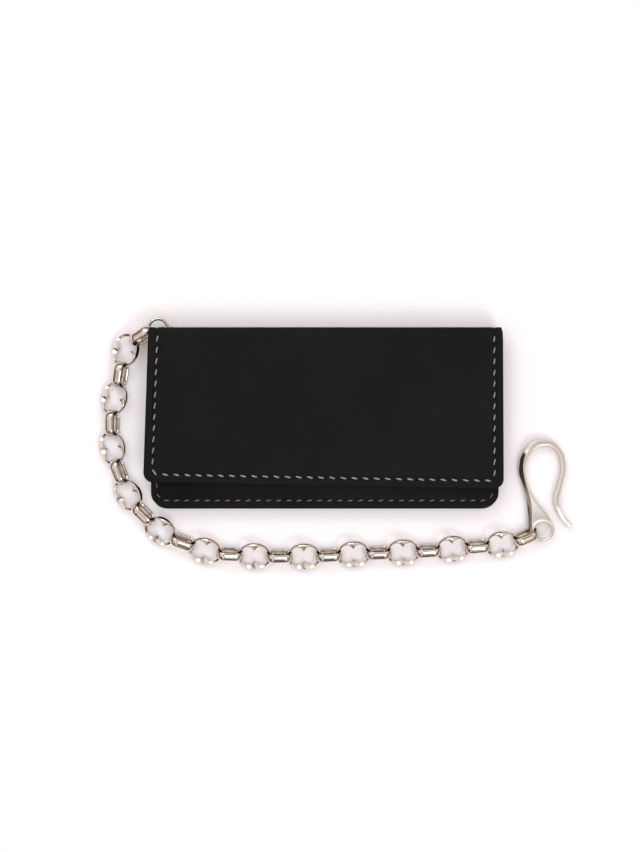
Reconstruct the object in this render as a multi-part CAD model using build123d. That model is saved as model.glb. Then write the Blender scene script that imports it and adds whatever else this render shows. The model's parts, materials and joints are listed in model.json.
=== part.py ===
from build123d import *
import math
import os

# Chain wallet. A long leather wallet lies on its back with the fold at +Y, and a silver
# link chain runs from a ring in the spine round to a hook. Millimetres. The origin is
# the middle of the back face, +X runs along the fold and +Z points up.

# Cover
body_width = 190.0
body_depth = 98.5
wallet_thickness = 20.0
leather = 2.0
fold_gap = 0.3
body_corner = 8.7
fold_y = body_depth / 2 - leather / 2
back_fold_z = leather / 2
front_fold_z = wallet_thickness - leather / 2
panel_top_y = fold_y - leather / 2 - fold_gap
flap_tilt = 2.5
flap_top_left = -94.8
flap_top_right = 95.6
flap_bottom_left = (-98.0, -34.3)
flap_bottom_right = (96.5, -37.8)
flap_corner = 6.0

# Pockets
stack_top_y = 38.0
inner_inset = 0.8
lip_inset = 1.9
gusset_width = 6.0
bill_space = 4.6
coin_space = 2.6
lining = 1.2
front_leather = 1.6
zip_y = 24.0
zip_window = 9.0
zip_half_length = 78.0
tape_thickness = 0.5
tooth_pitch = 2.6
tooth_gap = 0.6

# Seams
stitch_width = 0.9
stitch_height = 0.45

# Eyelet and ring
eyelet_x = -85.5
eyelet_z = 10.0
eyelet_hole = 2.2
eyelet_barrel = 2.8
eyelet_flange = 3.5
eyelet_sheet = 0.6
spine_left = -94.6
notch_x = -92.0
notch_half_height = 6.4
ring_center = Vector(-90.4, 49.1, eyelet_z)
ring_radius = 5.2
ring_wire = 0.9

# Flat links
flat_length = 18.8
flat_width = 15.4
flat_thickness = 4.0
flat_rounding = 1.5
lobe_radius = 4.4
lobe_offset = 3.4
lobe_center = 3.6
lobe_reach = lobe_offset + lobe_radius - lobe_center
lobe_half_width = 5.5
lobe_land = 0.5
dish_reach = 6.0
dish_half_width = 7.2

# Band links
band_length = 15.2
band_height = 9.5
band_width = 4.5
band_thickness = 1.5
band_inner = band_height / 2 - band_thickness
band_pivot = band_length / 2 - band_height / 2

# Hook
eye_radius = 6.2
eye_hole = 4.45
hook_height = 6.8
hook_low = 0.1
eye_height = 2.4
eye_chamfer = 0.7
plate_edge_x = -7.9
plate_foot_y = 0.5
plate_rise_start = 8.0
plate_rise_end = 25.0
plate_corner_depth = 5.0
far_end = 60.0

# The chain's lie. Headings are degrees from +X, link by link from the ring to the hook.
link_clearance = 0.35
chain_roll = 20.0
lie_height = 4.85
chain_headings = [
    -150, -103, -100, -104, -91, -78, -70, -56, -46, -30, -21, -11, -3,
    1, 0, 3, 3, 4, 2, 2, 4, 7, 5, 8, 23,
]
first_heights = [7.8, 6.0]
chain_drop = lobe_radius + band_inner - link_clearance
ring_drop = ring_radius - ring_wire + band_inner - link_clearance - 0.15
eye_drop = eye_hole + band_inner - link_clearance - 0.1

up = Vector(0, 0, 1)


def side_and_top(along):
    """Left side and upward direction of a link that points along the given way."""
    left = up.cross(along).normalized()
    return left, along.cross(left).normalized()


def link_normal(kind, along):
    """Normal of a link's own plane, with the chain's roll."""
    left, top = side_and_top(along)
    roll = math.radians(chain_roll)
    if kind == "flat":
        return top * math.cos(roll) - left * math.sin(roll)
    return left * math.cos(roll) + top * math.sin(roll)


def lay_chain():
    """Each link's place: kind, centre, direction, normal, near pivot and far pivot."""
    laid = []
    pivot, normal, drop = ring_center, up, ring_drop
    for index, heading in enumerate(chain_headings):
        kind = "band" if index % 2 == 0 else "flat"
        half = band_pivot if kind == "band" else lobe_offset
        height = first_heights[index] if index < len(first_heights) else lie_height
        turn = math.radians(heading)
        rise = 0.0
        for _ in range(6):
            flat_part = math.cos(rise)
            along = Vector(math.cos(turn) * flat_part, math.sin(turn) * flat_part, math.sin(rise))
            own = link_normal(kind, along)
            reach = own.cross(normal).normalized()
            if reach.dot(along) < 0:
                reach = reach * -1
            near = pivot + reach * drop
            rise = math.asin(max(-0.5, min(0.5, (height - near.Z) / (2 * half))))
        center = near + along * half
        far = near + along * (2 * half)
        laid.append((kind, center, along, own, near, far))
        pivot, normal, drop = far, own, chain_drop
    last_along, last_normal, last_far = laid[-1][2], laid[-1][3], laid[-1][5]
    reach = last_normal.cross(up).normalized()
    if reach.dot(last_along) < 0:
        reach = reach * -1
    eye = last_far + reach * eye_drop
    return laid, eye


def rounded_plate(left, right, bottom, top, low, high, radius):
    """Flat panel with its two lower corners rounded."""
    outline = Polyline((left, top), (left, bottom), (right, bottom), (right, top), (left, top))
    plate = extrude(make_face(outline), high - low)
    corners = plate.edges().filter_by(Axis.Z).group_by(Axis.Y)[0]
    return Pos(0, 0, low) * fillet(corners, radius)


def u_frame(left, right, bottom, top, low, high, radius, width):
    """U-shaped strip round the left, lower and right sides."""
    outer = rounded_plate(left, right, bottom, top, low, high, radius)
    inner = rounded_plate(
        left + width, right - width, bottom + width, top + 1, low - 1, high + 1, radius / 2
    )
    return outer - inner


def tilt_flap(shape):
    """Turn a piece of the flap down about the front fold."""
    axis = Axis((0, fold_y, front_fold_z), (1, 0, 0))
    return shape.rotate(axis, flap_tilt)


# Height of each layer's lower face
bill_low = leather
coin_back_low = bill_low + bill_space
coin_low = coin_back_low + lining
front_low = coin_low + coin_space
front_high = front_low + front_leather
body_left = -body_width / 2
body_right = body_width / 2
body_bottom = -body_depth / 2
inner_left = body_left + inner_inset
inner_right = body_right - inner_inset
inner_bottom = body_bottom + lip_inset
flap_low = wallet_thickness - leather


def make_cover_back():
    return rounded_plate(
        body_left, body_right, body_bottom, panel_top_y, 0, leather, body_corner
    )


def make_cover_spine():
    length = body_right - spine_left
    straight = front_fold_z - back_fold_z
    middle = (spine_left + body_right) / 2
    wall = Pos(middle, fold_y, wallet_thickness / 2) * Box(length, leather, straight)
    for height in (back_fold_z, front_fold_z):
        wall += Pos(middle, fold_y, height) * Rot(0, 90, 0) * Cylinder(leather / 2, length)
    notch = Pos(notch_x - 5, fold_y, eyelet_z) * Box(10, 3 * leather, 2 * notch_half_height)
    hole = Pos(eyelet_x, fold_y, eyelet_z) * Rot(90, 0, 0) * Cylinder(eyelet_barrel, 3 * leather)
    return wall - notch - hole


def flap_outline():
    return Polyline(
        (flap_top_left, panel_top_y),
        flap_bottom_left,
        flap_bottom_right,
        (flap_top_right, panel_top_y),
        (flap_top_left, panel_top_y),
    )


def make_cover_flap():
    plate = extrude(make_face(flap_outline()), leather)
    corners = plate.edges().filter_by(Axis.Z).sort_by(Axis.Y)[0:2]
    return tilt_flap(Pos(0, 0, flap_low) * fillet(corners, flap_corner))


def flap_layer(left, right, bottom, top, layer_low, layer_high):
    """Panel under the flap. Layer heights are measured down from its underside."""
    plate = rounded_plate(left, right, bottom, top, -layer_high, -layer_low, 2.0)
    return tilt_flap(Pos(0, 0, flap_low) * plate)


flap_lining = 0.8
slot_leather = 0.7
slot_top = 36.0
slot_step = 11.0
slot_bottom = -20.0
slot_width = 86.0
slot_columns = (-45.5, 45.5)
slots_in_column = 3


def make_card_slot(column, layer):
    low = flap_lining + layer * slot_leather
    left = slot_columns[column] - slot_width / 2
    top = slot_top - 8 - layer * slot_step
    return flap_layer(left, left + slot_width, slot_bottom, top, low, low + slot_leather)


def seam_bars(path, pitch, length, slant, height):
    """Row of slanted stitches that sit on a face at the given height."""
    count = round(path.length / pitch)
    bars = []
    for index in range(count):
        share = (index + 0.5) / count
        spot = path @ share
        way = path % share
        angle = math.degrees(math.atan2(way.Y, way.X)) + slant
        bar = Rot(0, 0, angle) * Box(length, stitch_width, stitch_height)
        bars.append(Pos(spot.X, spot.Y, height + stitch_height / 2) * bar)
    return Compound(children=bars)


def make_body_seam():
    left = body_left + 3.8
    right = body_right - 3.8
    bottom = body_bottom + 5.0
    top = stack_top_y - 3
    path = FilletPolyline((left, top), (left, bottom), (right, bottom), (right, top), radius=5.5)
    return seam_bars(path, 5.5, 3.4, 14, front_high)


def make_flap_seam():
    path = FilletPolyline(
        (flap_top_left + 5.0, 42.0),
        (flap_bottom_left[0] + 4.9, flap_bottom_left[1] + 4.3),
        (flap_bottom_right[0] - 5.1, flap_bottom_right[1] + 4.2),
        (flap_top_right - 4.6, 42.0),
        radius=4.5,
    )
    return tilt_flap(seam_bars(path, 6.05, 3.6, -16, wallet_thickness))


def make_front_panel():
    return rounded_plate(
        inner_left, inner_right, inner_bottom, zip_y - zip_window / 2,
        front_low, front_high, body_corner - 1.5,
    )


def make_zip_facing():
    low = zip_y + zip_window / 2
    width = inner_right - inner_left
    return Pos(0, (low + stack_top_y) / 2, (front_low + front_high) / 2) * Box(
        width, stack_top_y - low, front_leather
    )


def make_zip_tape(side):
    """Tape under the panel, on the spine side (1) or the lower side (-1) of the teeth."""
    inner = tooth_gap + 0.9
    outer = zip_window / 2 + 4.5
    center = zip_y + side * (inner + outer) / 2
    return Pos(0, center, front_low - tape_thickness / 2) * Box(
        2 * zip_half_length + 6, outer - inner, tape_thickness
    )


def make_zip_teeth(side):
    """One row of cast teeth, clamped on the tape's edge above and below it."""
    teeth = []
    count = int(2 * zip_half_length / tooth_pitch) - 3
    for index in range(count):
        place = (index - (count - 1) / 2) * tooth_pitch + side * tooth_pitch / 4
        head = Box(1.2, 1.3, 1.5)
        tape_slit = Pos(0, side * 0.45, 0) * Box(2, 0.9, tape_thickness)
        tooth = Pos(place, zip_y + side * (tooth_gap + 0.65), front_low - tape_thickness / 2)
        teeth.append(tooth * (head - tape_slit))
    return Compound(children=teeth)


def make_zip_stops():
    stops = []
    for end in (-1, 1):
        spot = Pos(end * (zip_half_length - 1.2), zip_y, front_low - tape_thickness / 2)
        bar = Box(1.6, 5.2, 1.9)
        slits = Box(3, 10, tape_thickness) - Box(3, 2 * (tooth_gap + 0.9), 2)
        stops.append(spot * (bar - slits))
    return Compound(children=stops)


slider_x = 66.0
slider_length = 7.0
slider_plate = 0.8
slider_half_gap = 1.0
pull_axis_height = 1.0


def slider_place(shape):
    return Pos(slider_x, zip_y, front_low - tape_thickness / 2) * shape


def make_zip_slider():
    plate = Box(slider_length, 5.4, slider_plate)
    plate_z = slider_half_gap + slider_plate / 2
    web = Box(2.6, 2 * tooth_gap - 0.4, 2 * slider_half_gap + 0.4)
    body = Pos(0, 0, plate_z) * plate + Pos(0, 0, -plate_z) * plate + Pos(1.6, 0, 0) * web
    lug_z = slider_half_gap + slider_plate
    for side in (-1, 1):
        lug = Box(2.6, 0.7, 2.0)
        body += Pos(-1.2, side * 1.75, lug_z + 1.0) * lug
    pin = Rot(90, 0, 0) * Cylinder(0.4, 3.6)
    body += Pos(-1.2, 0, lug_z + pull_axis_height) * pin
    return slider_place(body)


def make_zip_pull():
    axis_z = slider_half_gap + slider_plate + pull_axis_height
    eye = Rot(90, 0, 0) * Cylinder(0.95, 2.4)
    tongue = Pos(-8.4, 0, 0) * Box(16.0, 2.4, 1.0)
    leaf = Pos(-14.4, 0, 0) * Box(9.0, 5.0, 1.0)
    pull = eye + tongue + leaf - Rot(90, 0, 0) * Cylinder(0.6, 6)
    return slider_place(Pos(-1.2, 0, axis_z) * pull)


def make_eyelet():
    """Barrel through the spine with its rolled flange outside."""
    outer_face = fold_y + leather / 2
    inner_face = fold_y - leather / 2 - eyelet_sheet
    barrel_length = outer_face - inner_face
    barrel = Pos(0, (outer_face + inner_face) / 2, 0) * Rot(90, 0, 0) * Cylinder(
        eyelet_barrel, barrel_length
    )
    flange = Pos(0, outer_face + eyelet_sheet / 2, 0) * Rot(90, 0, 0) * Cylinder(
        eyelet_flange, eyelet_sheet
    )
    hole = Pos(0, fold_y, 0) * Rot(90, 0, 0) * Cylinder(eyelet_hole, 4 * leather)
    return Pos(eyelet_x, 0, eyelet_z) * (barrel + flange - hole)


def make_washer():
    inner_face = fold_y - leather / 2
    disc = Rot(90, 0, 0) * Cylinder(eyelet_flange, eyelet_sheet)
    hole = Rot(90, 0, 0) * Cylinder(eyelet_barrel, 3 * eyelet_sheet)
    return Pos(eyelet_x, inner_face - eyelet_sheet / 2, eyelet_z) * (disc - hole)


def make_ring():
    return Pos(ring_center) * Torus(ring_radius, ring_wire)


def lobe_at(height):
    """One lobe's outline at a height above the link's middle plane, dished above the land."""
    rise = (height - lobe_land) / (flat_thickness / 2 - lobe_land)
    reach = lobe_reach + rise * (dish_reach - lobe_reach)
    half_width = lobe_half_width + rise * (dish_half_width - lobe_half_width)
    return Pos(0, 0, height) * Ellipse(reach, half_width)


def make_flat_link():
    """Oval cheek plate with two lobes that run into each other at cusps, dished both sides."""
    plate = extrude(Ellipse(flat_length / 2, flat_width / 2), flat_thickness / 2, both=True)
    plate = fillet(plate.edges(), flat_rounding)
    bore = extrude(Ellipse(lobe_reach, lobe_half_width), flat_thickness, both=True)
    dish = loft([lobe_at(lobe_land), lobe_at(flat_thickness)], ruled=True)
    for side in (-1, 1):
        spot = Pos(side * lobe_center, 0, 0)
        plate -= spot * bore
        plate -= spot * dish
        plate -= spot * Rot(180, 0, 0) * dish
    return plate


def make_band_link():
    """Upright oval of domed band."""
    middle = band_inner + band_thickness / 2
    section = Plane.XY * Ellipse(band_thickness / 2, band_width / 2)
    end = revolve(Pos(middle, 0, 0) * section, Axis.Y, 180)
    arm = extrude(section, band_pivot, both=True)
    run_up = Pos(0, 0, middle) * Rot(0, 90, 0) * arm
    run_low = Pos(0, 0, -middle) * Rot(0, 90, 0) * arm
    right_end = Pos(band_pivot, 0, 0) * Rot(0, -90, 0) * end
    left_end = Pos(-band_pivot, 0, 0) * Rot(0, 90, 0) * end
    return run_up + right_end + run_low + left_end


def link_place(center, along, normal, kind):
    top = normal if kind == "flat" else along.cross(normal)
    return Plane(origin=center, x_dir=along, z_dir=top).location


# Hook outline, measured from the middle of its eye
arm_outer = [(plate_edge_x, 13.3), (-10.6, 24.0), (-12.9, 33.5), (-8.6, 45.4), (0.4, 49.8)]
loop_outer = [
    (0.4, 49.8), (9.2, 45.6), (12.7, 35.6), (10.9, 25.3), (9.1, 15.6), (10.9, 8.9), (16.4, 2.6),
]
loop_inner = [
    (14.9, 1.3), (8.2, 8.9), (6.2, 15.8), (8.2, 24.8), (10.1, 34.6), (7.4, 43.2), (0.9, 46.1),
]
arm_inner = [
    (0.9, 46.1), (-6.6, 42.4), (-10.0, 34.0), (-9.2, 27.6), (-6.3, 19.9), (-1.9, 13.5), (3.0, 7.8),
]


def make_hook(eye):
    """Forged hook: flat eye plate that turns into an upright band, loop and pointed tip."""
    loop_face = make_face(
        Spline(*loop_outer)
        + Line(loop_outer[-1], loop_inner[0])
        + Spline(*loop_inner)
        + Line(loop_inner[-1], loop_outer[0])
    )
    arm_face = make_face(
        Line((plate_edge_x, plate_foot_y), arm_outer[0])
        + Spline(*arm_outer)
        + Line(arm_outer[-1], arm_inner[0])
        + Spline(*arm_inner)
        + Line(arm_inner[-1], (eye_radius, plate_foot_y))
        + Line((eye_radius, plate_foot_y), (plate_edge_x, plate_foot_y))
    )
    loop = extrude(loop_face, hook_height / 2, both=True)
    arm = extrude(arm_face, hook_height / 2, both=True)
    # The band rests on its lower edge, and the eye plate lies at the chain's height.
    # The plate grows from the eye's height to the band's height on its way up the arm.
    band_middle = hook_low + hook_height / 2 - eye.Z
    low = -eye_height / 2
    high = eye_height / 2
    bottom = band_middle - hook_height / 2
    top = band_middle + hook_height / 2
    side = make_face(
        Polyline(
            (-far_end, low), (plate_rise_start, low), (plate_rise_end, bottom), (far_end, bottom),
            (far_end, top), (plate_rise_end, top), (plate_rise_start, high), (-far_end, high),
            (-far_end, low),
        )
    )
    side_solid = extrude(Plane.YZ * side, far_end, both=True)
    corner = Box(-plate_edge_x, plate_corner_depth, eye_height)
    corner_y = plate_foot_y + plate_corner_depth / 2
    eye_disc = Cylinder(eye_radius, eye_height) + Pos(plate_edge_x / 2, corner_y, 0) * corner
    hook = ((Pos(0, 0, band_middle) * arm) & side_solid) + Pos(0, 0, band_middle) * loop + eye_disc
    hook -= Cylinder(eye_hole, 3 * hook_height)
    flare = Cone(eye_hole, eye_hole + 1.5 * eye_chamfer, 1.5 * eye_chamfer)
    flare_z = eye_height / 2 - eye_chamfer + 0.75 * eye_chamfer
    hook -= Pos(0, 0, flare_z) * flare
    hook -= Rot(180, 0, 0) * Pos(0, 0, flare_z) * flare
    return Pos(eye.X, eye.Y, eye.Z) * hook


def write(node, shape):
    shape.label = node
    export_step(shape, "parts/" + node + ".step")


def build():
    os.makedirs("parts", exist_ok=True)
    write("cover_back", make_cover_back())
    write(
        "bill_gusset",
        u_frame(
            inner_left, inner_right, inner_bottom, stack_top_y,
            bill_low, coin_back_low, body_corner - 1.5, gusset_width,
        ),
    )
    write(
        "coin_pocket_back",
        rounded_plate(
            inner_left, inner_right, inner_bottom, stack_top_y,
            coin_back_low, coin_low, body_corner - 1.5,
        ),
    )
    write(
        "coin_gusset",
        u_frame(
            inner_left, inner_right, inner_bottom, stack_top_y,
            coin_low, front_low, body_corner - 1.5, gusset_width,
        ),
    )
    write("body_front_panel", make_front_panel())
    write("zip_facing", make_zip_facing())
    write("zip_tape_upper", make_zip_tape(1))
    write("zip_tape_lower", make_zip_tape(-1))
    write("zip_teeth_upper", make_zip_teeth(1))
    write("zip_teeth_lower", make_zip_teeth(-1))
    write("zip_stops", make_zip_stops())
    write("zip_slider", make_zip_slider())
    write("zip_pull", make_zip_pull())
    write("body_seam_thread", make_body_seam())
    write("cover_spine", make_cover_spine())
    write("spine_eyelet", make_eyelet())
    write("eyelet_washer", make_washer())
    write("cover_flap", make_cover_flap())
    write("flap_lining", flap_layer(-88.5, 89.5, -26.0, 40.0, 0, flap_lining))
    for column in range(len(slot_columns)):
        for layer in range(slots_in_column):
            number = column * slots_in_column + layer + 1
            write("card_slot_%d" % number, make_card_slot(column, layer))
    write("flap_seam_thread", make_flap_seam())
    write("wallet_ring", make_ring())
    laid, eye = lay_chain()
    flat_link = make_flat_link()
    band_link = make_band_link()
    for index, (kind, center, along, normal, near, far) in enumerate(laid):
        link = flat_link if kind == "flat" else band_link
        node = "%s_link_%02d" % (kind, index // 2 + 1)
        write(node, link_place(center, along, normal, kind) * link)
    write("belt_hook", make_hook(eye))


if __name__ == "__main__":
    build()
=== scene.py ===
import bpy
import bmesh
import json
import math
from mathutils import Matrix, Vector


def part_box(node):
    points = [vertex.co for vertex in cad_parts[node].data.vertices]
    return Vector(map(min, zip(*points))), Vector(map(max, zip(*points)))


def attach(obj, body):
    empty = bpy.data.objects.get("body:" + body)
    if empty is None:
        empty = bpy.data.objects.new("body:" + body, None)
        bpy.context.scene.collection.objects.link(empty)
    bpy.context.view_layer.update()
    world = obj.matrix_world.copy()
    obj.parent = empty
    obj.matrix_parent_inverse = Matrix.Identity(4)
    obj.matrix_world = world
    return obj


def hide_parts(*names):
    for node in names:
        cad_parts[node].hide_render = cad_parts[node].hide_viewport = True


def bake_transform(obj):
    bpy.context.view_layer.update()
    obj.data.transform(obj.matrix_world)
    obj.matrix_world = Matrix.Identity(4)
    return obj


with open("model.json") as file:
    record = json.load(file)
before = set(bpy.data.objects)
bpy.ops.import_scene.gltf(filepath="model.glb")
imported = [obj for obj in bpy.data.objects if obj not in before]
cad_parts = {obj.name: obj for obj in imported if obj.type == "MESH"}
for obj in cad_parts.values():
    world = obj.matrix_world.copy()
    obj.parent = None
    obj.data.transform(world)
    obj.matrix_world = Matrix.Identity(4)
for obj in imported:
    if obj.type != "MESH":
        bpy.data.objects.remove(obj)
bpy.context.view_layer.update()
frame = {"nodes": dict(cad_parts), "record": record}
scene = bpy.context.scene
mm = 0.001  # pieces are shaped in millimetres, and finishMesh turns them to metres


def srgb(hexColour):
    parts = [int(hexColour[i:i + 2], 16) / 255 for i in (1, 3, 5)]
    linear = [p / 12.92 if p <= 0.04045 else ((p + 0.055) / 1.055) ** 2.4 for p in parts]
    return (*linear, 1.0)


def addNode(tree, kind, values=None, links=None, **settings):
    node = tree.nodes.new(kind)
    for name, value in settings.items():
        setattr(node, name, value)
    for socket, value in (values or {}).items():
        node.inputs[socket].default_value = value
    for socket, source in (links or {}).items():
        tree.links.new(source, node.inputs[socket])
    return node


def newMaterial(name, values):
    # a material with its shader ready, and its tree to add nodes to
    material = bpy.data.materials.new(name)
    material.use_nodes = True
    tree = material.node_tree
    shader = tree.nodes["Principled BSDF"]
    for socket, value in values.items():
        shader.inputs[socket].default_value = value
    return material, tree, shader


def finishMesh(bm, name, material, smooth=40):
    # millimetres to metres, and smooth shading that keeps the sharp edges
    bmesh.ops.scale(bm, vec=(mm, mm, mm), verts=bm.verts)
    mesh = bpy.data.meshes.new(name)
    bm.to_mesh(mesh)
    bm.free()
    mesh.materials.append(material)
    mesh.shade_smooth()
    mesh.set_sharp_from_angle(angle=math.radians(smooth))
    piece = bpy.data.objects.new(name, mesh)
    scene.collection.objects.link(piece)
    return piece


leatherDetail = {
    "specular": 0.14,
    "rimColour": "#060606",
    "rimGloss": 0.16,
    "glossChange": 0.08,
    "roundedEdge": 0.3,
    "toneSize": 26.3,
    "poreSize": 0.7,
    "fibreSize": 0.35,
    "wrinkleSize": 9,
}


def saddleLeather(name, dark, light, grain, roughness):
    # Vegetable-tanned saddle leather, dyed black and left matte: an even deep black with
    # fine pores, a slow change of tone, and a soft broad gloss.
    look = leatherDetail
    material, tree, shader = newMaterial(name, {"Specular IOR Level": look["specular"]})
    rim = addNode(tree, "ShaderNodeAttribute", attribute_name="rim").outputs["Fac"]
    place = addNode(tree, "ShaderNodeTexCoord").outputs["Object"]
    tone = addNode(
        tree, "ShaderNodeTexNoise", {"Scale": 1 / (look["toneSize"] * mm), "Detail": 3}, {"Vector": place}
    )
    pores = addNode(tree, "ShaderNodeTexVoronoi", {"Scale": 1 / (look["poreSize"] * mm)}, {"Vector": place})
    fibres = addNode(
        tree, "ShaderNodeTexNoise",
        {"Scale": 1 / (look["fibreSize"] * mm), "Detail": 4, "Roughness": 0.7}, {"Vector": place},
    )
    wrinkles = addNode(
        tree, "ShaderNodeTexNoise",
        {"Scale": 1 / (look["wrinkleSize"] * mm), "Detail": 5, "Distortion": 0.6}, {"Vector": place},
    )
    colour = addNode(
        tree, "ShaderNodeMix", {6: srgb(dark), 7: srgb(light)}, {0: tone.outputs["Fac"]}, data_type="RGBA"
    )
    rimColour = addNode(
        tree, "ShaderNodeMix", {7: srgb(look["rimColour"])}, {0: rim, 6: colour.outputs[2]},
        data_type="RGBA",
    )
    tree.links.new(rimColour.outputs[2], shader.inputs["Base Color"])
    unevenGloss = addNode(
        tree, "ShaderNodeMapRange",
        {"To Min": roughness - look["glossChange"], "To Max": roughness + look["glossChange"]},
        {"Value": wrinkles.outputs["Fac"]},
    )
    gloss = addNode(
        tree, "ShaderNodeMix", {3: roughness - look["rimGloss"]}, {0: rim, 2: unevenGloss.outputs["Result"]}
    )
    tree.links.new(gloss.outputs[0], shader.inputs["Roughness"])
    poreBump = addNode(
        tree, "ShaderNodeBump", {"Strength": 0.6 * grain, "Distance": 0.08 * mm},
        {"Height": pores.outputs["Distance"]},
    )
    roundedEdge = addNode(tree, "ShaderNodeBevel", {"Radius": look["roundedEdge"] * mm}, samples=4)
    tree.links.new(roundedEdge.outputs["Normal"], poreBump.inputs["Normal"])
    fibreBump = addNode(
        tree, "ShaderNodeBump", {"Strength": 0.5 * grain, "Distance": 0.04 * mm},
        {"Height": fibres.outputs["Fac"], "Normal": poreBump.outputs["Normal"]},
    )
    wrinkleBump = addNode(
        tree, "ShaderNodeBump", {"Strength": 0.5, "Distance": 0.3 * mm},
        {"Height": wrinkles.outputs["Fac"], "Normal": fibreBump.outputs["Normal"]},
    )
    tree.links.new(wrinkleBump.outputs["Normal"], shader.inputs["Normal"])
    return material


threadDetail = {"plySpacing": 1.5, "dyeSize": 1.4, "plyShade": 0.55, "contrast": (-0.25, 1.15)}


def waxedThread(name, dark, light):
    # Two-ply waxed linen, laid in long slanting stitches: light grey strands with painted shade in the
    # grooves where the two plies cross, painted highlight on the plies, and black dye rubbed in from the
    # leather.
    look = threadDetail
    material, tree, shader = newMaterial(name, {"Roughness": 0.62, "IOR": 1.5})
    along = addNode(tree, "ShaderNodeUVMap", uv_map="strand").outputs["UV"]
    place = addNode(tree, "ShaderNodeTexCoord").outputs["Object"]
    # diagonal bands repeat every 2 pi / 10 at scale 1, and the strand map is in millimetres
    plies = addNode(
        tree, "ShaderNodeTexWave",
        {"Scale": 2 * math.pi / (10 * look["plySpacing"]), "Distortion": 0.4, "Detail": 1},
        {"Vector": along}, bands_direction="DIAGONAL",
    )
    dye = addNode(
        tree, "ShaderNodeTexNoise", {"Scale": 1 / (look["dyeSize"] * mm), "Detail": 2}, {"Vector": place}
    )
    # the ply bands paint shade into the grooves and, pushed past the light colour, a painted highlight on
    # the ply crests
    shade = addNode(
        tree, "ShaderNodeMath", {1: look["plyShade"]}, {0: plies.outputs["Fac"]}, operation="MULTIPLY"
    )
    total = addNode(
        tree, "ShaderNodeMath", links={0: shade.outputs[0], 1: dye.outputs["Fac"]}, operation="ADD"
    )
    contrast = addNode(
        tree, "ShaderNodeMapRange", {"To Min": look["contrast"][0], "To Max": look["contrast"][1]},
        {"Value": total.outputs[0]},
    )
    colour = addNode(
        tree, "ShaderNodeMix", {6: srgb(dark), 7: srgb(light)}, {0: contrast.outputs["Result"]},
        data_type="RGBA",
    )
    tree.links.new(colour.outputs[2], shader.inputs["Base Color"])
    bump = addNode(
        tree, "ShaderNodeBump", {"Strength": 0.8, "Distance": 0.12 * mm}, {"Height": plies.outputs["Fac"]}
    )
    tree.links.new(bump.outputs["Normal"], shader.inputs["Normal"])
    return material


silverDetail = {
    "tarnishAndShade": "#65503f",
    "tarnishAndShadeRange": (0.4, 0.9),
    "hollowReach": 5,
    "wheelWave": 3.2,
    "scratchSize": 0.25,
    "roundedEdge": 0.22,
}


def polishedSilver(name, smoothest, dullest, clean):
    # Sterling silver, cast, tumbled and hand polished: a warm white mirror with faint
    # waves from the polishing wheel, fine scratches, and brown in the hollows: tarnished silver plus
    # painted shade near other links and the floor.
    look = silverDetail
    material, tree, shader = newMaterial(name, {"Metallic": 1.0})
    # the occlusion mask browns the tarnished hollows and also paints shade between links, under them and
    # next to the floor
    hollow = addNode(tree, "ShaderNodeAmbientOcclusion", {"Distance": look["hollowReach"] * mm}, samples=6)
    tarnishAndShadeMask = addNode(
        tree, "ShaderNodeMapRange",
        {"From Min": look["tarnishAndShadeRange"][0], "From Max": look["tarnishAndShadeRange"][1]},
        {"Value": hollow.outputs["AO"]},
    )
    colour = addNode(
        tree, "ShaderNodeMix", {6: srgb(look["tarnishAndShade"]), 7: srgb(clean)}, {0: tarnishAndShadeMask.outputs["Result"]},
        data_type="RGBA",
    )
    tree.links.new(colour.outputs[2], shader.inputs["Base Color"])
    place = addNode(tree, "ShaderNodeTexCoord").outputs["Object"]
    wheel = addNode(
        tree, "ShaderNodeTexNoise", {"Scale": 1 / (look["wheelWave"] * mm), "Detail": 2}, {"Vector": place}
    )
    scratches = addNode(
        tree, "ShaderNodeTexNoise",
        {"Scale": 1 / (look["scratchSize"] * mm), "Detail": 3, "Roughness": 0.7}, {"Vector": place},
    )
    sheen = addNode(
        tree, "ShaderNodeMapRange", {"To Min": smoothest, "To Max": dullest},
        {"Value": scratches.outputs["Fac"]},
    )
    tree.links.new(sheen.outputs["Result"], shader.inputs["Roughness"])
    softEdge = addNode(tree, "ShaderNodeBevel", {"Radius": look["roundedEdge"] * mm}, samples=4)
    wheelBump = addNode(
        tree, "ShaderNodeBump", {"Strength": 0.25, "Distance": 0.1 * mm},
        {"Height": wheel.outputs["Fac"], "Normal": softEdge.outputs["Normal"]},
    )
    tree.links.new(wheelBump.outputs["Normal"], shader.inputs["Normal"])
    return material


def castMetal(name, colour, roughness, grainSize=0.4):
    # Nickel-plated zinc casting: a cool grey shine over a slightly grainy surface.
    material, tree, shader = newMaterial(
        name, {"Metallic": 1.0, "Roughness": roughness, "Base Color": srgb(colour)}
    )
    place = addNode(tree, "ShaderNodeTexCoord").outputs["Object"]
    grainy = addNode(
        tree, "ShaderNodeTexNoise", {"Scale": 1 / (grainSize * mm), "Detail": 3}, {"Vector": place}
    )
    bump = addNode(
        tree, "ShaderNodeBump", {"Strength": 0.3, "Distance": 0.04 * mm}, {"Height": grainy.outputs["Fac"]}
    )
    tree.links.new(bump.outputs["Normal"], shader.inputs["Normal"])
    return material


def wovenTape(ribSpacing):
    # Polyester zip tape: dull black, with a fine rib across it that catches a little light.
    material, tree, shader = newMaterial(
        "wovenTape", {"Roughness": 0.8, "Sheen Weight": 0.3, "Base Color": srgb("#141415")}
    )
    place = addNode(tree, "ShaderNodeTexCoord").outputs["Object"]
    # straight bands repeat every 2 pi / 20 at scale 1
    ribs = addNode(
        tree, "ShaderNodeTexWave", {"Scale": 2 * math.pi / (20 * ribSpacing * mm)}, {"Vector": place},
        bands_direction="X",
    )
    bump = addNode(
        tree, "ShaderNodeBump", {"Strength": 0.6, "Distance": 0.1 * mm}, {"Height": ribs.outputs["Fac"]}
    )
    tree.links.new(bump.outputs["Normal"], shader.inputs["Normal"])
    return material


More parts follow.
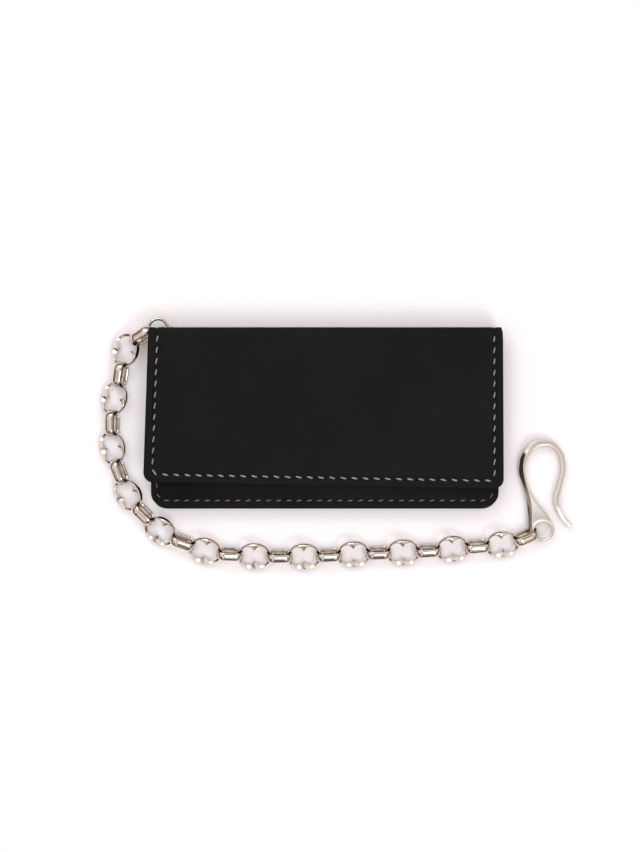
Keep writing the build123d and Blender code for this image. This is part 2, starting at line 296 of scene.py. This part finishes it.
def backdropPaper(dark, light, cloudSize):
    # Matt white paper sweep: bright and even, with the faintest cloudiness of its pulp.
    material, tree, shader = newMaterial("backdropPaper", {"Roughness": 0.95, "Specular IOR Level": 0.1})
    place = addNode(tree, "ShaderNodeTexCoord").outputs["Object"]
    cloud = addNode(
        tree, "ShaderNodeTexNoise", {"Scale": 1 / (cloudSize * mm), "Detail": 3}, {"Vector": place}
    )
    colour = addNode(
        tree, "ShaderNodeMix", {6: srgb(dark), 7: srgb(light)}, {0: cloud.outputs["Fac"]}, data_type="RGBA"
    )
    tree.links.new(colour.outputs[2], shader.inputs["Base Color"])
    return material


coverLeather = saddleLeather("coverLeather", "#050505", "#0f0f0f", grain=1.0, roughness=0.56)
panelLeather = saddleLeather("panelLeather", "#040404", "#0c0c0c", grain=1.0, roughness=0.58)
liningLeather = saddleLeather("liningLeather", "#161514", "#201e1d", grain=0.7, roughness=0.6)
flapThread = waxedThread("flapThread", "#2e2d2b", "#989691")
# the same waxed thread as flapThread with its colours darkened: a painted shade for the dimmer body rows,
# inside rows and seams
shadedThread = waxedThread("shadedThread", "#222120", "#6f6d6a")
silver = polishedSilver("polishedSilver", smoothest=0.08, dullest=0.2, clean="#ded3c9")
satinSilver = polishedSilver("satinSilver", smoothest=0.2, dullest=0.36, clean="#f3e8db")
zipMetal = castMetal("nickelZip", "#b9b6b0", roughness=0.3)
eyeletMetal = castMetal("nickelEyelet", "#c9c5bd", roughness=0.2)
tapeMaterial = wovenTape(ribSpacing=0.6)
paper = backdropPaper("#efecee", "#f3f0f2", cloudSize=83)
print("materials made")


def readBox(node):
    low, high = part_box(node)
    return low / mm, high / mm


def roundedFace(bm, corners, radii, height):
    # a flat face through the corners, each corner rounded with its own radius
    verts = [bm.verts.new((x, y, height)) for x, y in corners]
    bm.faces.new(verts)
    for vert, radius in zip(verts, radii):
        if radius:
            bmesh.ops.bevel(
                bm, geom=[vert], offset=radius, offset_type="OFFSET", segments=8, profile=0.5,
                affect="VERTICES", material=-1,
            )
    return bm.faces[:]


def cutGrid(bm, xStep, yStep):
    # cut lines across the panel, so that it can be crowned and bent
    for axis, step in ((0, xStep), (1, yStep)):
        spread = [v.co[axis] for v in bm.verts]
        count = int((max(spread) - min(spread)) / step)
        for index in range(1, count):
            spot = Vector((0, 0, 0))
            spot[axis] = min(spread) + index * (max(spread) - min(spread)) / count
            way = Vector((0, 0, 0))
            way[axis] = 1
            bmesh.ops.bisect_plane(
                bm, geom=bm.verts[:] + bm.edges[:] + bm.faces[:], dist=0.0001, plane_co=spot, plane_no=way
            )


def sunkenLine(bm, face, inset, width, depth):
    # the creased channel that the stitches lie in, along the closed sides of a face
    bank, bed = width * 0.3, width * 0.4
    for thickness, sink in ((inset - width / 2, 0), (bank, -depth), (bed, 0), (bank, depth)):
        bmesh.ops.inset_region(
            bm, faces=[face], thickness=thickness, depth=sink, use_even_offset=True, use_boundary=False
        )


def slab(corners, radii, low, high, edgeRound, openSide=None):
    # a leather panel with rounded rims; openSide is the y where the sheet goes on
    bm = bmesh.new()
    base = roundedFace(bm, corners, radii, low)
    grown = bmesh.ops.extrude_face_region(bm, geom=base)
    top = [item for item in grown["geom"] if isinstance(item, bmesh.types.BMVert)]
    bmesh.ops.translate(bm, verts=top, vec=(0, 0, high - low))
    bmesh.ops.recalc_face_normals(bm, faces=bm.faces)
    if openSide is not None:
        wall = [f for f in bm.faces if all(abs(v.co.y - openSide) < 0.001 for v in f.verts)]
        bmesh.ops.delete(bm, geom=wall, context="FACES_ONLY")
    rims = [
        e for e in bm.edges
        if abs(e.verts[0].co.z - e.verts[1].co.z) < 0.001 and len(e.link_faces) == 2
    ]
    bmesh.ops.bevel(
        bm, geom=rims, offset=edgeRound, offset_type="OFFSET", segments=4, profile=0.5,
        affect="EDGES", material=-1, clamp_overlap=True,
    )
    markRims(bm)
    return bm


def markRims(bm):
    # the cut sides of a panel, which are dyed darker and rubbed smooth
    layer = bm.verts.layers.float.new("rim")
    for face in bm.faces:
        if abs(face.normal.z) < 0.8:
            for vert in face.verts:
                vert[layer] = 1.0


def largestFace(bm, up):
    facing = [f for f in bm.faces if f.normal.z * up > 0.9]
    return max(facing, key=lambda f: f.calc_area())


spineBox = readBox("cover_spine")
backBox = readBox("cover_back")
outerY = spineBox[1].y
leatherThick = spineBox[1].y - spineBox[0].y
coverTop = spineBox[1].z

# the cover is one sheet bent over the fold, made as an upper piece (flap and spine) and a lower piece
# (back)
coverShape = {
    "foldRadius": 2.4,
    "edgeRound": 0.55,
    "tilt": 2.5,
    "flapCorners": [(-94.8, None), (-98.0, -34.3), (96.5, -37.8), (95.6, None)],
    "flapRadius": 5.5,
    "bodyRadius": 8.7,
    "seamHeight": 3.4,
    "flapStitchInset": 4.3,
    "bodyStitchInset": 4.6,
    "channelWidth": 1.6,
    "channelDepth": 0.4,
    "innerChannelDepth": 0.24,
    "bodyChannelDepth": 0.65,
    "flapGrid": (7.0, 5.0),
    "backGrid": (9.0, 6.0),
    "foldSteps": 8,
    "spineStep": 2.5,
    "halfWidth": 98,
    "flapCrown": 0.5,
    "crownEnd": 1.02,
    "wave": 0.18,
    "waveStart": 3,
    "trimStart": 0.5,
    "trimLength": 1.5,
    "trimReach": 6,
    "blendIn": (0.4, 3.2),
    "blendOut": (3.0, 0.8),
}


def softWave(x, y):
    # slow unevenness of a hand-cut sheet
    return math.sin(x / 31 + 1.3) * math.cos(y / 23 + 0.4) + 0.5 * math.sin(x / 13 + y / 17)


def bendOverFold(bm, startY, centerZ, angle, targetZ):
    # roll the open edge of the panel over the fold, then carry it along the spine
    rim = [e for e in bm.edges if e.is_boundary]
    ends = list({v for e in rim for v in e.verts})
    turned = bmesh.ops.spin(
        bm, geom=rim + ends, cent=(0, startY, centerZ), axis=(1, 0, 0), angle=angle,
        steps=coverShape["foldSteps"], dvec=(0, 0, 0), use_duplicate=False,
    )
    last = [item for item in turned["geom_last"] if isinstance(item, bmesh.types.BMEdge)]
    pieces = max(1, round(abs(targetZ - centerZ) / coverShape["spineStep"]))
    for _ in range(pieces):
        grown = bmesh.ops.extrude_edge_only(bm, edges=last)
        moved = [item for item in grown["geom"] if isinstance(item, bmesh.types.BMVert)]
        last = [item for item in grown["geom"] if isinstance(item, bmesh.types.BMEdge)]
        bmesh.ops.translate(bm, verts=moved, vec=(0, 0, (targetZ - centerZ) / pieces))
    bmesh.ops.holes_fill(bm, edges=[e for e in bm.edges if e.is_boundary], sides=0)
    bmesh.ops.remove_doubles(bm, verts=bm.verts, dist=0.0005)
    bmesh.ops.recalc_face_normals(bm, faces=bm.faces)


def trimEnds(bm, startY, left, right):
    # past the fold the sheet is cut to the spine's own length
    shape = coverShape
    for vert in bm.verts:
        past = vert.co.y - startY + shape["trimStart"]
        if past > 0:
            edgeX = left if vert.co.x < 0 else right
            share = min(1, past / shape["trimLength"])
            nearEnd = max(0, 1 - abs(abs(vert.co.x) - abs(edgeX[0])) / shape["trimReach"])
            vert.co.x += (edgeX[1] - edgeX[0]) * share * nearEnd


def makeUpperCover():
    shape = coverShape
    startY = outerY - shape["foldRadius"]
    corners = [(x, startY if y is None else y) for x, y in shape["flapCorners"]]
    low = coverTop - leatherThick
    radii = [0, shape["flapRadius"], shape["flapRadius"], 0]
    bm = slab(corners, radii, low, coverTop, shape["edgeRound"], startY)
    sunkenLine(bm, largestFace(bm, 1), shape["flapStitchInset"] - shape["edgeRound"],
               shape["channelWidth"], shape["channelDepth"])
    sunkenLine(bm, largestFace(bm, -1), shape["flapStitchInset"] - shape["edgeRound"],
               shape["channelWidth"], shape["innerChannelDepth"])
    cutGrid(bm, *shape["flapGrid"])
    lowest = min(y for x, y in corners)
    for vert in bm.verts:
        across = 1 - (vert.co.x / shape["halfWidth"]) ** 2
        down = (startY - vert.co.y) / (startY - lowest)
        crown = shape["flapCrown"] * across * max(0, math.sin(math.pi * min(1, down * shape["crownEnd"])))
        hold = min(1, down * shape["waveStart"])
        vert.co.z += crown + shape["wave"] * softWave(vert.co.x, vert.co.y) * hold
    center = (0, startY, coverTop - shape["foldRadius"])
    turn = math.radians(shape["tilt"])
    bmesh.ops.rotate(bm, cent=center, matrix=Matrix.Rotation(turn, 3, "X"), verts=bm.verts)
    bendOverFold(bm, startY, center[2], -(math.pi / 2 + turn), shape["seamHeight"])
    trimEnds(bm, startY, (corners[0][0], spineBox[0].x), (corners[3][0], spineBox[1].x))
    return finishMesh(bm, "flapCover", coverLeather)


def makeLowerCover():
    shape = coverShape
    startY = outerY - shape["foldRadius"]
    left, right, bottom = backBox[0].x, backBox[1].x, backBox[0].y
    corners = [(left, startY), (left, bottom), (right, bottom), (right, startY)]
    bm = slab(corners, [0, shape["bodyRadius"], shape["bodyRadius"], 0], 0, leatherThick,
              shape["edgeRound"], startY)
    sunkenLine(bm, largestFace(bm, -1), shape["bodyStitchInset"] - shape["edgeRound"],
               shape["channelWidth"], shape["bodyChannelDepth"])
    cutGrid(bm, *shape["backGrid"])
    bendOverFold(bm, startY, shape["foldRadius"], math.pi / 2, shape["seamHeight"])
    trimEnds(bm, startY, (left, spineBox[0].x), (right, spineBox[1].x))
    return finishMesh(bm, "backCover", coverLeather)


def cutAway(piece, cutters):
    # cut holes with closed shapes, which are then removed
    for cutter in cutters:
        change = piece.modifiers.new("cut", "BOOLEAN")
        change.operation = "DIFFERENCE"
        change.object = cutter
        change.solver = "EXACT"
    bpy.context.view_layer.update()
    graph = bpy.context.evaluated_depsgraph_get()
    mesh = bpy.data.meshes.new_from_object(piece.evaluated_get(graph))
    piece.modifiers.clear()
    piece.data = mesh
    for cutter in cutters:
        bpy.data.objects.remove(cutter)


def holeCutter(name, x, z, radius):
    bm = bmesh.new()
    bmesh.ops.create_cone(
        bm, cap_ends=True, segments=40, radius1=radius, radius2=radius, depth=4 * leatherThick
    )
    bmesh.ops.rotate(bm, matrix=Matrix.Rotation(math.pi / 2, 3, "X"), verts=bm.verts)
    bmesh.ops.translate(bm, vec=(x, outerY - leatherThick / 2, z), verts=bm.verts)
    return finishMesh(bm, name, coverLeather)


def notchCutter(name, edgeX, z, halfHeight, depth, corner):
    bm = bmesh.new()
    bmesh.ops.create_cube(bm, size=1)
    bmesh.ops.scale(bm, vec=(depth, 3 * leatherThick, 2 * halfHeight), verts=bm.verts)
    bmesh.ops.translate(bm, vec=(edgeX - depth / 2, outerY - leatherThick / 2, z), verts=bm.verts)
    deep = [
        e for e in bm.edges
        if all(v.co.x > edgeX - 1 for v in e.verts) and abs(e.verts[0].co.y - e.verts[1].co.y) > 1
    ]
    bmesh.ops.bevel(
        bm, geom=deep, offset=corner, offset_type="OFFSET", segments=8, profile=0.5, affect="EDGES",
        material=-1,
    )
    return finishMesh(bm, name, coverLeather)


eyeletBox = readBox("spine_eyelet")
eyeletX = (eyeletBox[0].x + eyeletBox[1].x) / 2
eyeletZ = (eyeletBox[0].z + eyeletBox[1].z) / 2
eyeletShape = {"barrel": 2.8, "notchEdge": -92.0, "notchHalf": 6.4, "notchDepth": 10, "notchCorner": 2.0}

upperCover = makeUpperCover()
cutAway(upperCover, [
    holeCutter("eyeletHole", eyeletX, eyeletZ, eyeletShape["barrel"]),
    notchCutter("linkNotch", eyeletShape["notchEdge"], eyeletZ, eyeletShape["notchHalf"],
                eyeletShape["notchDepth"], eyeletShape["notchCorner"]),
])
lowerCover = makeLowerCover()
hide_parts("cover_flap", "cover_spine")
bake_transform(upperCover)
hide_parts("cover_back")
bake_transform(lowerCover)
print("leather cover made")


panelShape = {
    "radius": 7.2, "edgeRound": 0.45, "stitchInset": 3.1, "channelWidth": 1.5, "channelDepth": 0.35,
}


def makeFrontPanel():
    shape = panelShape
    low, high = readBox("body_front_panel")
    corners = [(low.x, high.y), (low.x, low.y), (high.x, low.y), (high.x, high.y)]
    bm = slab(corners, [0, shape["radius"], shape["radius"], 0], low.z, high.z, shape["edgeRound"])
    sunkenLine(bm, largestFace(bm, 1), shape["stitchInset"] - shape["edgeRound"],
               shape["channelWidth"], shape["channelDepth"])
    panel = finishMesh(bm, "frontPanel", panelLeather)
    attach(panel, "wallet_body")
    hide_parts("body_front_panel")
    return panel


frontPanel = makeFrontPanel()
print("body panel made")


threadShape = {
    "height": 0.62, "sides": 8, "rings": 7, "around": 3.1, "bluntness": 3.2, "thinnest": 0.12, "dive": 0.35,
}


def stitchTemplate(length, width):
    # one visible stitch: a thick strand that dives into its hole at both ends
    bm = bmesh.new()
    shape = threadShape
    bmesh.ops.create_grid(bm, x_segments=shape["rings"], y_segments=shape["sides"], size=0.5)
    layer = bm.loops.layers.uv.new("strand")
    for face in bm.faces:
        for loop in face.loops:
            spot = loop.vert.co
            loop[layer].uv = ((spot.x + 0.5) * length, (spot.y + 0.5) * shape["around"])
    for vert in bm.verts:
        share, around = vert.co.x * 2, (vert.co.y + 0.5) * 2 * math.pi
        thick = max(shape["thinnest"], (1 - abs(share) ** shape["bluntness"]) ** 0.5)
        dive = -shape["dive"] * share ** 4
        vert.co = Vector((
            share * length / 2,
            math.sin(around) * width / 2 * thick,
            math.cos(around) * shape["height"] / 2 * thick + dive,
        ))
    bmesh.ops.remove_doubles(bm, verts=bm.verts, dist=0.002)
    bmesh.ops.recalc_face_normals(bm, faces=bm.faces)
    mesh = bpy.data.meshes.new("stitchTemplate")
    bm.to_mesh(mesh)
    bm.free()
    return mesh


def roundedRoute(corners, radius):
    # points along an open route with rounded corners
    bm = bmesh.new()
    verts = [bm.verts.new((x, y, 0)) for x, y in corners]
    for pair in zip(verts, verts[1:]):
        bm.edges.new(pair)
    bmesh.ops.bevel(
        bm, geom=verts[1:-1], offset=radius, offset_type="OFFSET", segments=6, profile=0.5,
        affect="VERTICES", material=-1,
    )
    start = min((v for v in bm.verts if len(v.link_edges) == 1),
                key=lambda v: (v.co - Vector((*corners[0], 0))).length)
    route, seen, vert = [start.co.copy()], {start}, start
    while True:
        onward = [e.other_vert(vert) for e in vert.link_edges if e.other_vert(vert) not in seen]
        if not onward:
            break
        vert = onward[0]
        seen.add(vert)
        route.append(vert.co.copy())
    bm.free()
    return route


def walkRoute(route, pitch):
    # evenly spaced places and directions along the route
    total = sum((b - a).length for a, b in zip(route, route[1:]))
    count = round(total / pitch)
    goals = [(index + 0.5) * total / count for index in range(count)]
    places, passed = [], 0
    for a, b in zip(route, route[1:]):
        run = (b - a).length
        while goals and goals[0] <= passed + run:
            places.append((a.lerp(b, (goals.pop(0) - passed) / run), (b - a).normalized()))
        passed += run
    return places


def stitchRow(name, corners, seam, thread, surface, facing=1):
    # a row of stitches laid on the leather; surface gives the height at a place
    template = stitchTemplate(seam["length"], seam["width"])
    bm = bmesh.new()
    route = roundedRoute(corners, seam["radius"])
    for index, (spot, way) in enumerate(walkRoute(route, seam["pitch"])):
        first = len(bm.verts)
        bm.from_mesh(template)
        bm.verts.ensure_lookup_table()
        fresh = bm.verts[first:]
        wobble = seam["wobble"] * math.sin(index * 2.39)
        angle = math.atan2(way.y, way.x) + math.radians(facing * seam["slant"] + wobble)
        normal, height = surface(spot.x, spot.y)
        place = Matrix.Translation((spot.x, spot.y, height + facing * seam["lift"]))
        lean = Vector((0, 0, 1)).rotation_difference(normal).to_matrix().to_4x4()
        flip = Matrix.Rotation(0 if facing > 0 else math.pi, 4, "X")
        bmesh.ops.transform(bm, matrix=place @ lean @ Matrix.Rotation(angle, 4, "Z") @ flip, verts=fresh)
    return finishMesh(bm, name, thread, 80)


def heightOn(piece, facing):
    # height and normal of a finished piece at a place, found by a ray from outside
    def find(x, y):
        hit, spot, normal, _ = piece.ray_cast(
            Vector((x * mm, y * mm, facing * 0.1)), Vector((0, 0, -facing))
        )
        return (normal * facing, spot.z / mm) if hit else (Vector((0, 0, 1)), 0)
    return find


flapSeam = {
    "left": 4.9, "bottom": 4.35, "right": 5.0, "topLeft": 5.0, "topRight": 4.7, "start": 3.4, "radius": 4.2,
    "pitch": 6.05, "length": 3.9, "slant": -16, "wobble": 2.5, "width": 1.0, "lift": 0.08,
}
bodySeam = {
    "side": 3.9, "bottom": 5.0, "topGap": 3, "backTop": 38, "backHeight": 0.5, "radius": 5.5,
    "pitch": 5.5, "length": 3.5, "slant": 12, "wobble": 2.5, "width": 0.75, "lift": -0.04,
}


def makeFlapSeams():
    shape = flapSeam
    (topLeft, _), lowLeft, lowRight, (topRight, _) = coverShape["flapCorners"]
    corners = [
        (topLeft + shape["topLeft"], outerY - shape["start"]),
        (lowLeft[0] + shape["left"], lowLeft[1] + shape["bottom"]),
        (lowRight[0] - shape["right"], lowRight[1] + shape["bottom"]),
        (topRight - shape["topRight"], outerY - shape["start"]),
    ]
    bpy.context.view_layer.update()
    top = stitchRow("flapStitches", corners, shape, flapThread, heightOn(upperCover, 1))
    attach(top, "flap")
    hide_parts("flap_seam_thread")
    under = stitchRow("flapInnerStitches", corners, shape, shadedThread, heightOn(upperCover, -1), -1)
    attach(under, "flap")


def makeBodySeams():
    shape = bodySeam
    left, right = backBox[0].x + shape["side"], backBox[1].x - shape["side"]
    bottom = backBox[0].y + shape["bottom"]
    topY = readBox("body_front_panel")[1].y - shape["topGap"]
    corners = [(left, topY), (left, bottom), (right, bottom), (right, topY)]
    front = stitchRow("bodyStitches", corners, shape, shadedThread, heightOn(frontPanel, 1))
    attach(front, "wallet_body")
    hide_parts("body_seam_thread")
    corners = [(left, shape["backTop"]), *corners[1:3], (right, shape["backTop"])]
    backLevel = (Vector((0, 0, 1)), shape["backHeight"])
    back = stitchRow("backStitches", corners, shape, shadedThread, lambda x, y: backLevel, -1)
    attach(back, "wallet_body")


makeFlapSeams()
makeBodySeams()
print("stitches made")


# the hook is drawn about its eye: an outline, and the crest where its left arm starts to slope
hookShape = {
    "height": 6.8,
    "eyeHeight": 2.4,
    "eyeZ": 4.85,
    "tipHeight": 3.6,
    "restGap": 0.1,
    "reach": (16.4, 49.8),
    "voxel": 0.25,
    "softening": 22,
    "swell": 0.12,
    "eyeHole": 4.5,
    "eyeRim": 0.4,
    "eyeRimRadius": 5.2,
    "eyeRimWidth": 0.55,
    "slope": 1.1,
    "deepest": 0.75,
    "crestEnd": (38, 47.5),
    "plateEnd": (7, 25),
    "tipEnd": (1, 14),
    "armX": 6.5,
    "armLean": 0.1,
    "armTop": 24,
    "eyeArea": (7, 8),
}
hookCrest = [
    (-5.8, -6.0), (-5.85, 7.5), (-6.1, 13.0), (-6.8, 17.0), (-7.9, 21.0), (-9.1, 25.0), (-10.1, 29.0),
    (-10.7, 32.5), (-10.8, 35.5), (-10.3, 38.5), (-9.2, 41.5), (-7.4, 44.3), (-5.0, 46.5), (-2.0, 48.0),
]
hookOutline = [
    (-8.0, 1.0), (-8.1, 7.5), (-8.6, 14.5), (-11.0, 24.0), (-13.2, 33.5), (-9.1, 45.2), (0.4, 49.8),
    (9.1, 45.5), (12.5, 35.6), (10.7, 25.3), (9.0, 15.6), (10.9, 8.9), (13.4, 5.1), (16.5, 2.3),
    (15.7, 1.5), (11.4, 4.6), (8.2, 8.9), (6.2, 15.8), (8.3, 24.8), (10.2, 34.6), (7.4, 43.2),
    (0.9, 46.2), (-6.2, 42.4), (-9.5, 34.0), (-8.7, 27.6), (-6.0, 19.9), (-1.8, 13.5), (3.6, 7.0),
    (6.2, 0.5), (4.4, -4.4), (0.0, -6.2), (-5.2, -4.6),
]


def closedSpline(curve, points):
    spline = curve.splines.new("BEZIER")
    spline.bezier_points.add(len(points) - 1)
    for knot, (x, y) in zip(spline.bezier_points, points):
        knot.co = (x * mm, y * mm, 0)
        knot.handle_left_type = knot.handle_right_type = "AUTO"
    spline.use_cyclic_u = True
    spline.resolution_u = 12


def smoothStep(value, start, end):
    share = min(1, max(0, (value - start) / (end - start)))
    return share * share * (3 - 2 * share)


def beyondCrest(x, y):
    # how far a spot lies outside the crest of the left arm
    spot = Vector((x, y))
    best = None
    for start, end in zip(hookCrest, hookCrest[1:]):
        a, b = Vector(start), Vector(end)
        share = min(1, max(0, (spot - a).dot(b - a) / (b - a).length_squared))
        away = spot - a.lerp(b, share)
        outward = (b - a).cross(away) > 0
        if best is None or away.length < best[0]:
            best = (away.length, outward)
    return best[0] if best[1] else 0


def hookBlank():
    # the outline as a thick plate with its eye, remeshed and softened all round
    shape = hookShape
    curve = bpy.data.curves.new("hookOutline", "CURVE")
    curve.dimensions = "2D"
    curve.fill_mode = "BOTH"
    closedSpline(curve, hookOutline)
    hole = [
        (shape["eyeHole"] * math.cos(t * math.pi / 4), shape["eyeHole"] * math.sin(t * math.pi / 4))
        for t in range(8)
    ]
    closedSpline(curve, hole)
    curve.extrude = (shape["height"] / 2) * mm
    flat = bpy.data.objects.new("hookFlat", curve)
    scene.collection.objects.link(flat)
    bpy.context.view_layer.update()
    mesh = bpy.data.meshes.new_from_object(flat)
    bpy.data.objects.remove(flat)
    piece = bpy.data.objects.new("beltHook", mesh)
    scene.collection.objects.link(piece)
    bm = bmesh.new()
    bm.from_mesh(mesh)
    bmesh.ops.remove_doubles(bm, verts=bm.verts, dist=0.00001)
    bm.to_mesh(mesh)
    bm.free()
    remesh = piece.modifiers.new("remesh", "REMESH")
    remesh.mode = "VOXEL"
    remesh.voxel_size = shape["voxel"] * mm
    soften = piece.modifiers.new("soften", "SMOOTH")
    soften.factor = 0.5
    soften.iterations = shape["softening"]
    bpy.context.view_layer.update()
    graph = bpy.context.evaluated_depsgraph_get()
    done = bpy.data.meshes.new_from_object(piece.evaluated_get(graph))
    bpy.data.objects.remove(piece)
    return done


def forgeHook(bm):
    # hammer the plate to its heights: a thin flat eye, a tall bow, a low tip and a sloping left arm
    shape = hookShape
    full = shape["height"]
    middle = full / 2 + shape["restGap"]
    eyeWide, eyeTall = shape["eyeArea"]
    for vert in bm.verts:
        x, y = vert.co.x, vert.co.y
        armX = shape["armX"] - max(0, y - eyeTall) * shape["armLean"]
        rightArm = smoothStep(x - armX, 0, 1) if y < shape["armTop"] else 0
        plate = 1 - smoothStep(y, *shape["plateEnd"])
        tip = 1 - smoothStep(y, *shape["tipEnd"])
        plateHeight = full + (shape["eyeHeight"] - full) * plate
        armHeight = full + (shape["tipHeight"] - full) * tip
        height = plateHeight * (1 - rightArm) + armHeight * rightArm
        lift = (shape["eyeZ"] - middle) * plate * (1 - rightArm)
        drop = min(height * shape["deepest"], shape["slope"] * beyondCrest(x, y))
        drop *= 1 - smoothStep(y, *shape["crestEnd"])
        topShare = max(0, vert.co.z) / (full / 2)
        if y < eyeTall and x < eyeWide:
            fromRim = (math.hypot(x, y) - shape["eyeRimRadius"]) / shape["eyeRimWidth"]
            height += 2 * shape["eyeRim"] * math.exp(-fromRim ** 2)
        vert.co.z = middle + lift + vert.co.z * height / full - drop * topShare


def makeHook():
    shape = hookShape
    high = readBox("belt_hook")[1]
    blank = hookBlank()
    bm = bmesh.new()
    bm.from_mesh(blank)
    bpy.data.meshes.remove(blank)
    bmesh.ops.scale(bm, vec=(1 / mm, 1 / mm, 1 / mm), verts=bm.verts)
    bm.normal_update()
    for vert in bm.verts:
        vert.co -= vert.normal * shape["swell"]
    forgeHook(bm)
    bmesh.ops.translate(bm, vec=(high.x - shape["reach"][0], high.y - shape["reach"][1], 0), verts=bm.verts)
    hook = finishMesh(bm, "beltHook", satinSilver, 180)
    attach(hook, "belt_hook")
    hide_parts("belt_hook")


makeHook()
print("belt hook made")


# finishes on the parts that keep their own shape
slotFinish = {
    "black_leather": panelLeather,
    "lining_leather": liningLeather,
    "seam_thread": shadedThread,
    "zip_tape": tapeMaterial,
    "zip_metal": zipMetal,
    "eyelet_nickel": eyeletMetal,
    "polished_silver": silver,
}
for part in frame["record"]["subparts"]:
    node = frame["nodes"][part["node"]]
    for slot in node.material_slots:
        slot.material = slotFinish[part["material_slot"]]
print("finishes set")


# the studio, in metres: each soft box has a place, a size, a power, a colour and whether metal mirrors it
studio = {
    "floorSize": 6.0,
    "cameraHeight": 0.8,
    "viewHeight": 0.4684,
    "aim": (-0.0026, -0.0039),
    "sensor": 36.0,
    "softBoxes": {
        "keyBox": ((0.45, -0.75, 1.3), (0.5, 0.4), 4.4, "#fffcfa", True),
        "fillBox": ((-0.35, 0.8, 1.15), (0.6, 0.45), 3.6, "#f8f8ff", True),
        "topBox": ((0.0, 0.0, 1.5), (1.2, 1.2), 7.5, "#fffafa", False),
    },
    "roomBands": [
        (0.0, "#4b382f"), (0.2, "#7a6355"), (0.42, "#c4b5a6"), (0.58, "#fff5ee"), (0.88, "#fffdfb"),
        (0.965, "#d3d8de"),
    ],
    "roomPatch": "#555a62",
    "patchRange": (0.52, 0.62),
    "roomLight": 1.1,
}


def makeFloor():
    bm = bmesh.new()
    bmesh.ops.create_grid(bm, x_segments=8, y_segments=8, size=studio["floorSize"] / 2 / mm)
    bmesh.ops.translate(bm, vec=(0, 0, -0.02), verts=bm.verts)  # just under the wallet
    floor = finishMesh(bm, "paperFloor", paper)


def softBox(name, spot, size, power, colour, mirrored):
    light = bpy.data.lights.new(name, "AREA")
    light.shape = "RECTANGLE"
    light.size, light.size_y = size
    light.energy = power
    light.color = srgb(colour)[:3]
    lamp = bpy.data.objects.new(name, light)
    lamp.location = spot
    lamp.rotation_euler = (-Vector(spot)).to_track_quat("-Z", "Y").to_euler()
    lamp.visible_glossy = mirrored
    scene.collection.objects.link(lamp)


def makeWorld():
    # a room that the silver mirrors: brown at the horizon, pale above it, grey overhead and in patches
    world = bpy.data.worlds.new("studioRoom")
    scene.world = world
    world.use_nodes = True
    tree = world.node_tree
    back = tree.nodes["Background"]
    way = addNode(tree, "ShaderNodeTexCoord").outputs["Generated"]
    split = addNode(tree, "ShaderNodeSeparateXYZ", links={"Vector": way})
    ramp = addNode(tree, "ShaderNodeValToRGB", links={"Fac": split.outputs["Z"]})
    first, *between, last = studio["roomBands"]
    for element, (height, colour) in zip(ramp.color_ramp.elements, (first, last)):
        element.position = height
        element.color = srgb(colour)
    for height, colour in between:
        ramp.color_ramp.elements.new(height).color = srgb(colour)
    clutter = addNode(tree, "ShaderNodeTexNoise", {"Scale": 2.6, "Detail": 1}, {"Vector": way})
    patch = addNode(
        tree, "ShaderNodeMapRange",
        {"From Min": studio["patchRange"][0], "From Max": studio["patchRange"][1]},
        {"Value": clutter.outputs["Fac"]},
    )
    room = addNode(
        tree, "ShaderNodeMix", {7: srgb(studio["roomPatch"])},
        {0: patch.outputs["Result"], 6: ramp.outputs["Color"]}, data_type="RGBA",
    )
    tree.links.new(room.outputs[2], back.inputs["Color"])
    back.inputs["Strength"].default_value = studio["roomLight"]


def makeCamera():
    lens = bpy.data.cameras.new("copyStand")
    lens.sensor_width = studio["sensor"]
    lens.sensor_fit = "VERTICAL"
    lens.sensor_height = studio["sensor"]
    lens.lens = studio["sensor"] * studio["cameraHeight"] / studio["viewHeight"]
    lens.clip_start = 0.01
    camera = bpy.data.objects.new("copyStand", lens)
    camera.location = (*studio["aim"], studio["cameraHeight"])
    scene.collection.objects.link(camera)
    scene.camera = camera


makeFloor()
for boxName, boxValues in studio["softBoxes"].items():
    softBox(boxName, *boxValues)
makeWorld()
makeCamera()
scene.view_settings.view_transform = "Standard"
print("studio made")
